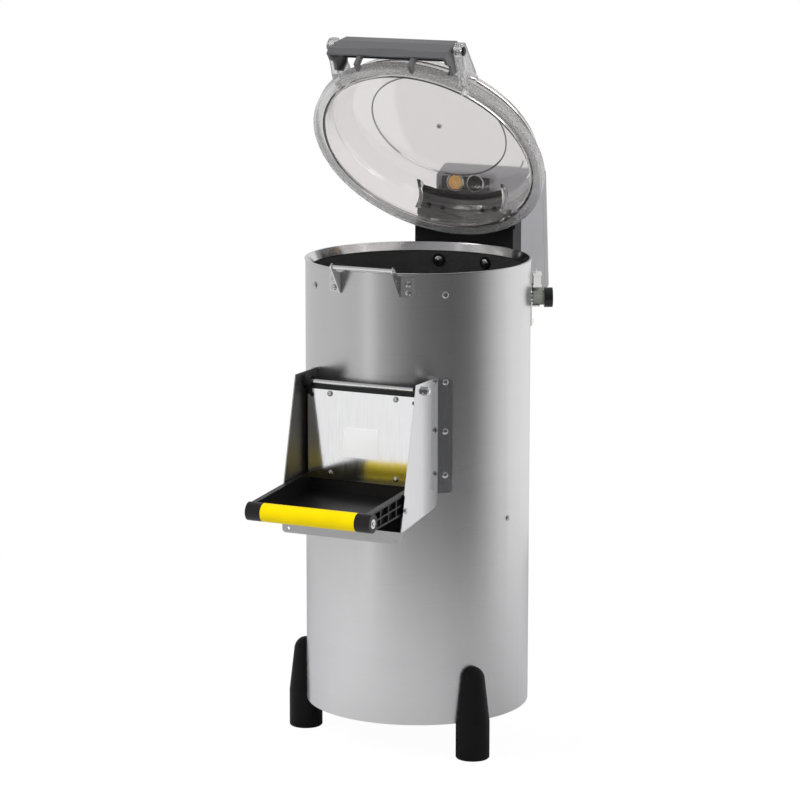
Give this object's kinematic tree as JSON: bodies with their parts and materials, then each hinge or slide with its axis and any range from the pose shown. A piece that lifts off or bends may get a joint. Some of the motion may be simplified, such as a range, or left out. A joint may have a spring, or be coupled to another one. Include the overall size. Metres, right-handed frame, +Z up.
{
  "type": "electric potato peeler",
  "caption": "Catering potato peeler: upright steel drum with abrasive turntable, clear hinged lid, lever latch, discharge door with tray handle, rear control box.",
  "frame": {"origin": "on the drum's axis at the floor", "axes": "+Z up along the drum's axis, -Y towards the discharge door, +X to the right seen from the door"},
  "size_m": [0.3329, 0.5877, 0.9424],
  "materials": {
    "shell_steel": "brushed round the drum",
    "polished_steel": "mirror polished stainless steel",
    "plain_steel": "satin stainless steel",
    "fasteners": "bright",
    "abrasive": "coarse abrasive grit",
    "black_rubber": "matte",
    "clear_plastic": "clear moulded plastic",
    "hinge_plastic": "satin",
    "lever_plastic": "satin",
    "box_plastic": "satin",
    "black_plastic": "satin",
    "yellow_plastic": "semi-gloss",
    "amber_plastic": "translucent lamp button",
    "valve_green": "satin",
    "valve_white": "satin",
    "cast_metal": "as cast",
    "motor_paint": "painted"
  },
  "bodies": {
    "machine": {"body_shell": "shell_steel", "rim_ring": "polished_steel", "abrasive_liner": "abrasive", "drum_floor": "plain_steel", "base_pan": "plain_steel", "leg_front_right": "black_rubber", "leg_front_left": "black_rubber", "leg_rear": "black_rubber", "leg_bolts": "fasteners", "drum_screws": "fasteners", "discharge_frame": "plain_steel", "discharge_chute": "plain_steel", "cheek_left": "polished_steel", "cheek_right": "polished_steel", "cheek_screws": "fasteners", "door_pivot_rod": "polished_steel", "rod_nuts": "fasteners", "latch_brackets": "polished_steel", "latch_rod": "polished_steel", "hinge_base": "hinge_plastic", "hinge_pin": "polished_steel", "hinge_bolts": "fasteners", "control_box": "box_plastic", "box_back_cover": "box_plastic", "box_screws": "fasteners", "fascia": "hinge_plastic", "button_bezels": "black_plastic", "switch_bodies": "black_plastic", "cable_gland": "black_plastic", "valve_body": "valve_green", "valve_coil": "valve_white", "valve_bracket": "plain_steel", "inlet_collar": "black_plastic", "spray_nozzle": "plain_steel", "drain_spout": "plain_steel", "bearing_housing": "cast_metal", "bearings": "fasteners", "shaft_seal": "black_rubber", "drive_belt": "black_rubber", "motor_body": "motor_paint", "motor_plate": "plain_steel", "drive_fasteners": "fasteners"},
    "lid": {"lid_dome": "clear_plastic", "lid_hinge_bracket": "hinge_plastic", "bracket_screws": "fasteners", "lever_pins": "black_plastic"},
    "lever": {"lid_lever": "lever_plastic"},
    "door": {"door_body": "black_plastic", "door_seal": "black_rubber", "door_plate": "polished_steel", "door_screws": "fasteners", "handle_tube": "polished_steel", "handle_grip": "yellow_plastic"},
    "start_button": {"start_button": "amber_plastic"},
    "stop_button": {"stop_button": "black_plastic"},
    "rotor": {"turntable_plate": "abrasive", "drive_shaft": "plain_steel", "driven_pulley": "cast_metal"},
    "motor_rotor": {"motor_pulley": "cast_metal", "motor_shaft": "plain_steel"}
  },
  "joints": [
    {"name": "lid_hinge", "type": "hinge", "parent": "machine", "child": "lid", "pos_m": [0, 0.1603, 0.6887], "axis": [1, 0, 0], "range_deg": [0, 49]},
    {"name": "lever_pivot", "type": "hinge", "parent": "lid", "child": "lever", "pos_m": [0, -0.06924, 0.93066], "axis": [1, 0, 0], "range_deg": [-35, 12]},
    {"name": "door_hinge", "type": "hinge", "parent": "machine", "child": "door", "pos_m": [0, -0.1637, 0.5026], "axis": [-1, 0, 0], "range_deg": [0, 75]},
    {"name": "start_press", "type": "slide", "parent": "machine", "child": "start_button", "axis": [0, 1, 0], "range_m": [0, 0.003], "stiffness_N_per_m": 400, "springref_m": -0.002},
    {"name": "stop_press", "type": "slide", "parent": "machine", "child": "stop_button", "axis": [0, 1, 0], "range_m": [0, 0.003], "stiffness_N_per_m": 400, "springref_m": -0.002},
    {"name": "turntable_spin", "type": "hinge", "parent": "machine", "child": "rotor", "pos_m": [0, 0, 0.3], "axis": [0, 0, 1], "continuous": true},
    {"name": "motor_spin", "type": "hinge", "parent": "machine", "child": "motor_rotor", "pos_m": [-0.06435, 0.05399, 0.238], "axis": [0, 0, 1], "continuous": true}
  ],
  "couplings": [
    {"joint": "motor_spin", "follows": "turntable_spin", "ratio": 3}
  ]
}
